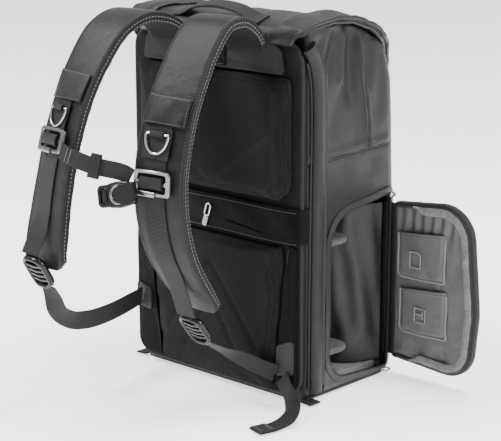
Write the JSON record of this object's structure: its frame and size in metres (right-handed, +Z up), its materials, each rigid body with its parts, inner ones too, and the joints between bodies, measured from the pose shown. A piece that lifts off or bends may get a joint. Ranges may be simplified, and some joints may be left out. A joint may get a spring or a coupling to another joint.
{
  "type": "camera backpack",
  "caption": "Upright soft camera backpack with an arched top flap, padded back, two shoulder straps joined by a chest strap, and a side door folded open over its inner pockets.",
  "frame": {"origin": "middle of the base, on the floor that the bag stands on", "axes": "+Z up; -Y towards the wearer's back (the harness side), +Y the front, +X the side with the open door"},
  "size_m": [0.4216, 0.429, 0.4764],
  "materials": {
    "nylon": "charcoal coated nylon with a soft sheen",
    "spacer_mesh": "near-black air mesh over foam",
    "webbing": "black woven webbing",
    "binding": "black edge binding and zip tape",
    "felt": "light grey brushed felt",
    "satin_lining": "mid grey satin lining",
    "black_plastic": "moulded black acetal",
    "dark_steel": "dark plated steel wire",
    "aluminium": "satin aluminium"
  },
  "bodies": {
    "bag": {"back_board": "spacer_mesh", "back_wing_left": "nylon", "back_wing_right": "nylon", "back_zip_pull": "aluminium", "chest_buckle": "black_plastic", "chest_keeper": "binding", "chest_webbing": "webbing", "door_binding": "binding", "door_felt_band": "felt", "door_hinge": "binding", "door_lining": "satin_lining", "door_panel": "nylon", "door_pocket_lower": "satin_lining", "door_pocket_upper": "satin_lining", "door_zip_pull": "aluminium", "door_zip_slider": "aluminium", "doorway_rim": "binding", "edge_piping_left": "nylon", "edge_piping_right": "nylon", "floor_pad": "felt", "foot_loop_left": "webbing", "foot_loop_right": "webbing", "frame_buckle_left": "aluminium", "frame_buckle_right": "aluminium", "front_lining": "satin_lining", "grab_handle": "nylon", "ladder_lock_left": "black_plastic", "ladder_lock_right": "black_plastic", "lower_back_pad": "spacer_mesh", "luggage_band": "nylon", "main_shell": "nylon", "ring_loop_left": "webbing", "ring_loop_right": "webbing", "shelf_lower": "felt", "shelf_upper": "felt", "side_zip_loop": "dark_steel", "strap_anchor_left": "nylon", "strap_anchor_right": "nylon", "strap_cover_left": "nylon", "strap_cover_right": "nylon", "strap_pad_left": "nylon", "strap_pad_right": "nylon", "strap_rail_left": "webbing", "strap_rail_right": "webbing", "strap_webbing_left": "webbing", "strap_webbing_right": "webbing", "tail_webbing_right": "webbing", "top_flap": "nylon", "upper_back_pad": "spacer_mesh", "yoke": "webbing"},
    "ring_right": {"d_ring_right": "dark_steel"},
    "ring_left": {"d_ring_left": "dark_steel"}
  },
  "joints": [
    {"name": "ring_right_swing", "type": "hinge", "parent": "bag", "child": "ring_right", "pos_m": [0.05805, -0.24616, 0.34224], "axis": [-0.986, -0.16, 0.0463], "range_deg": [0, 150]},
    {"name": "ring_left_swing", "type": "hinge", "parent": "bag", "child": "ring_left", "pos_m": [-0.08251, -0.26875, 0.35915], "axis": [-0.9855, 0.1696, -0.0104], "range_deg": [0, 150]}
  ]
}
